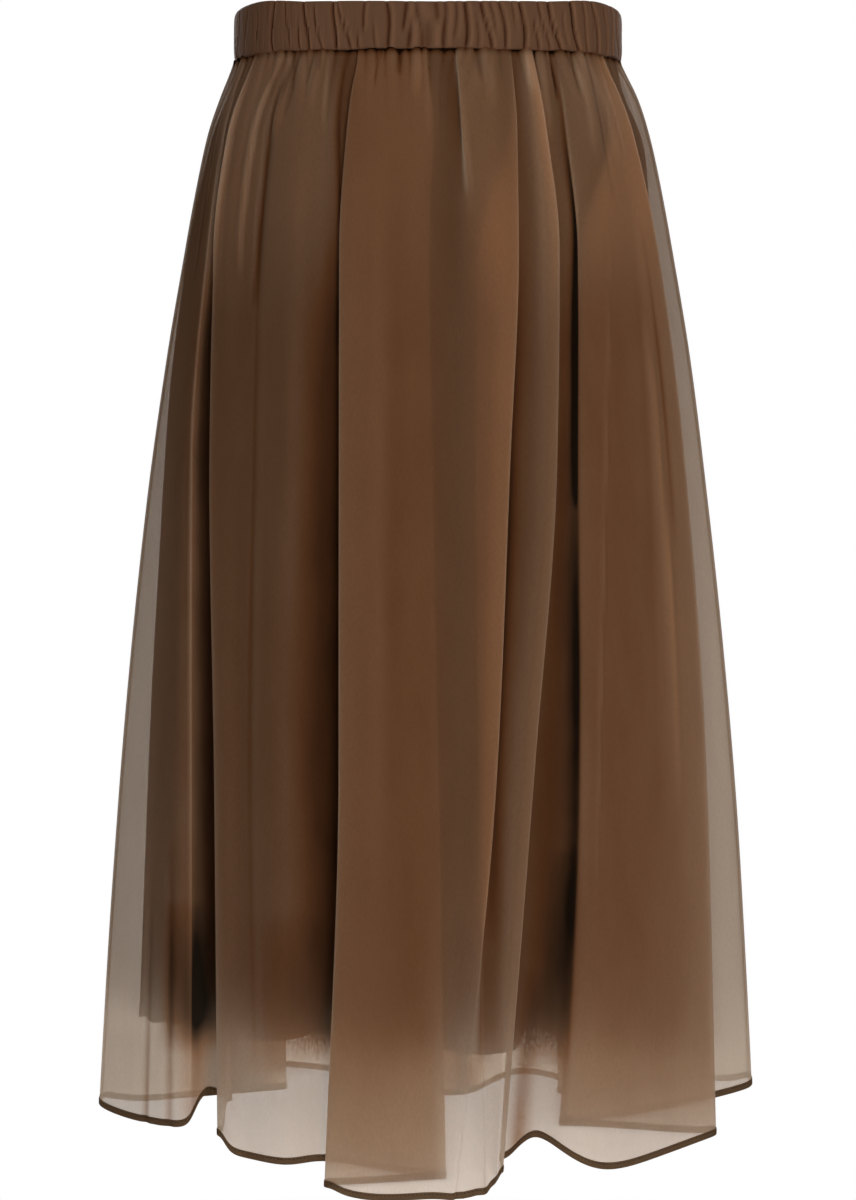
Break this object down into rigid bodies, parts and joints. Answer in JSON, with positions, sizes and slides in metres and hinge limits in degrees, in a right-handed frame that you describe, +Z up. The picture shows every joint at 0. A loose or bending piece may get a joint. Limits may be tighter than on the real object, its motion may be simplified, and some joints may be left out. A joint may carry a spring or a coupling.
{
  "type": "gathered midi skirt",
  "caption": "Gathered midi skirt in its worn shape: elastic ruched waistband, sheer overskirt with large overlapping folds, over a shorter opaque lining. Hollow, open at waist and hem.",
  "frame": {"origin": "centre of the waist at the waistband's mid height", "axes": "+Z up along the skirt's length, -Y the front, +X the picture's right"},
  "size_m": [0.4551, 0.3637, 0.7703],
  "materials": {
    "band_cloth": "matte satin, brown",
    "sheer_cloth": "sheer woven, brown",
    "lining_cloth": "matte satin, dark brown"
  },
  "bodies": {
    "root": {"waistband": "band_cloth", "overskirt_front": "sheer_cloth", "overskirt_back": "sheer_cloth", "lining_front": "lining_cloth", "lining_back": "lining_cloth"}
  },
  "joints": []
}
